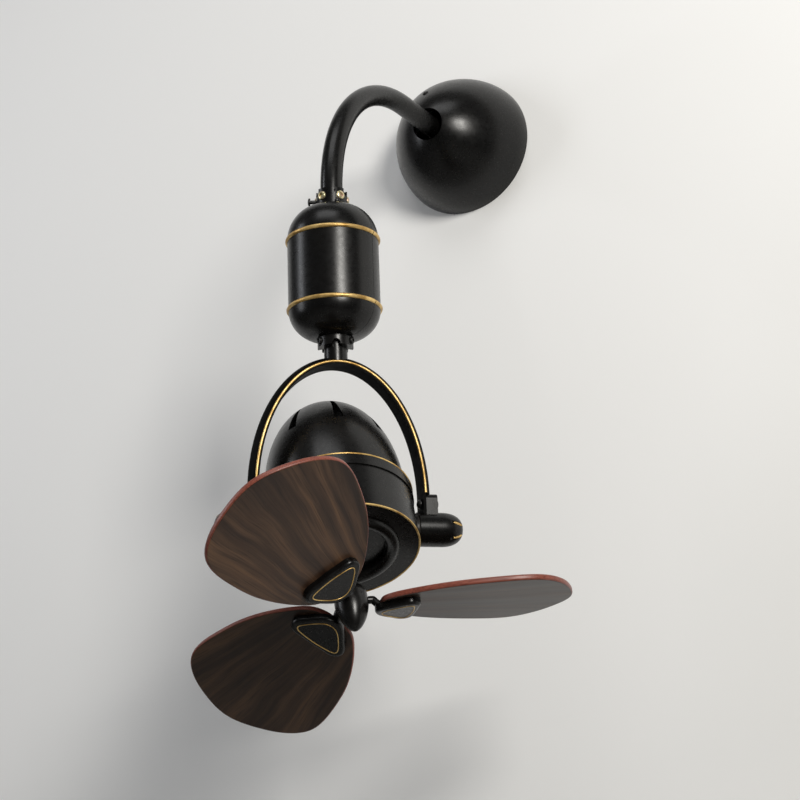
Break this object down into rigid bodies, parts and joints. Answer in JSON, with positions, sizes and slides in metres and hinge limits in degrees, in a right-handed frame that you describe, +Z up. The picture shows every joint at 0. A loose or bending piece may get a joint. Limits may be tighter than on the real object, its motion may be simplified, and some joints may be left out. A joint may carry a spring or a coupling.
{
  "type": "wall fan",
  "caption": "Wall-mounted oscillating fan: domed canopy, gooseneck arm, gearbox, turning yoke and a tilting motor head with broad wooden paddle blades.",
  "frame": {"origin": "centre of the wall bracket's screw circle, on the wall face", "axes": "+Y into the wall, +Z up, the arm reaches out along -Y"},
  "size_m": [0.3539, 0.5123, 0.7463],
  "materials": {
    "black_paint": "satin black paint over metal",
    "bright_steel": "zinc plated steel",
    "yellow_zinc": "yellow passivated zinc on steel",
    "black_screw": "black oxide",
    "walnut": "dark walnut veneer, mahogany edge, satin lacquer",
    "rubber": "black rubber",
    "bronze": "sintered bronze and brass",
    "black_plastic": "black moulded plastic",
    "nylon": "natural nylon",
    "fibre": "vulcanised fibre",
    "core_iron": "laminated steel",
    "copper": "enamelled copper wire"
  },
  "bodies": {
    "wall_mount": {"wall_bracket": "bright_steel", "cable_grommet": "rubber", "wall_canopy": "black_paint", "canopy_post": "bright_steel", "canopy_screw": "black_screw", "arm_flange": "black_paint", "flange_bolts": "yellow_zinc", "arm_lock_screws": "yellow_zinc", "arm_tube": "black_paint", "upper_collar": "black_paint", "upper_collar_bolts": "yellow_zinc", "upper_set_screws": "yellow_zinc", "collar_flange_screws": "yellow_zinc", "gearbox_front_shell": "black_paint", "gearbox_rear_shell": "black_paint", "gearbox_shell_screws": "yellow_zinc", "gearbox_top_plate": "bright_steel", "gearbox_deck": "bright_steel", "gearbox_bottom_plate": "bright_steel", "gearbox_posts": "bright_steel", "spindle_bushes": "bronze", "gear_motor": "bright_steel", "brush_block": "black_plastic"},
    "drive_pinion": {"drive_pinion": "bronze"},
    "yoke": {"output_gear": "nylon", "slip_ring": "bronze", "stem_tube": "black_paint", "lower_collar": "black_paint", "lower_collar_bolts": "black_screw", "yoke_arch": "black_paint", "yoke_inner_strip": "black_paint", "right_pivot_barrel": "black_paint", "left_pivot_barrel": "black_paint", "leg_clamp_screws": "black_screw", "leg_clamp_nuts": "black_screw"},
    "motor_head": {"trunnions": "bright_steel", "friction_washers": "fibre", "trunnion_nuts": "bright_steel", "motor_dome": "black_paint", "motor_drum": "black_paint", "motor_bottom_cover": "black_paint", "housing_screws": "black_screw", "stator_core": "core_iron", "stator_windings": "copper", "motor_end_plate": "bright_steel", "end_plate_posts": "bright_steel", "motor_bearings": "bright_steel", "run_capacitor": "black_plastic"},
    "right_knob": {"right_tilt_knob": "black_paint"},
    "left_knob": {"left_tilt_knob": "black_paint"},
    "fan": {"rotor": "core_iron", "blade_hub": "black_paint", "fan_screws": "black_screw", "spinner_cap": "black_paint", "blade_iron_1": "black_paint", "blade_iron_2": "black_paint", "blade_iron_3": "black_paint", "blade_1": "walnut", "blade_2": "walnut", "blade_3": "walnut"}
  },
  "joints": [
    {"name": "yoke_rotation", "type": "hinge", "parent": "wall_mount", "child": "yoke", "pos_m": [0, -0.297, -0.32], "axis": [0, 0, 1], "continuous": true},
    {"name": "pinion_spin", "type": "hinge", "parent": "wall_mount", "child": "drive_pinion", "pos_m": [0, -0.27, -0.26], "axis": [0, 0, 1], "continuous": true},
    {"name": "head_tilt", "type": "hinge", "parent": "yoke", "child": "motor_head", "pos_m": [0, -0.297, -0.4926], "axis": [0.7169, 0.6972, 0], "range_deg": [-64, 116]},
    {"name": "right_knob_turn", "type": "hinge", "parent": "motor_head", "child": "right_knob", "pos_m": [0, -0.297, -0.4926], "axis": [0.7169, 0.6972, 0], "range_deg": [0, 180]},
    {"name": "left_knob_turn", "type": "hinge", "parent": "motor_head", "child": "left_knob", "pos_m": [0, -0.297, -0.4926], "axis": [-0.7169, -0.6972, 0], "range_deg": [0, 180]},
    {"name": "blade_spin", "type": "hinge", "parent": "motor_head", "child": "fan", "pos_m": [0, -0.297, -0.4926], "axis": [0.3056, -0.3143, -0.8988], "continuous": true}
  ],
  "couplings": [
    {"joint": "pinion_spin", "follows": "yoke_rotation", "ratio": -3.5}
  ]
}
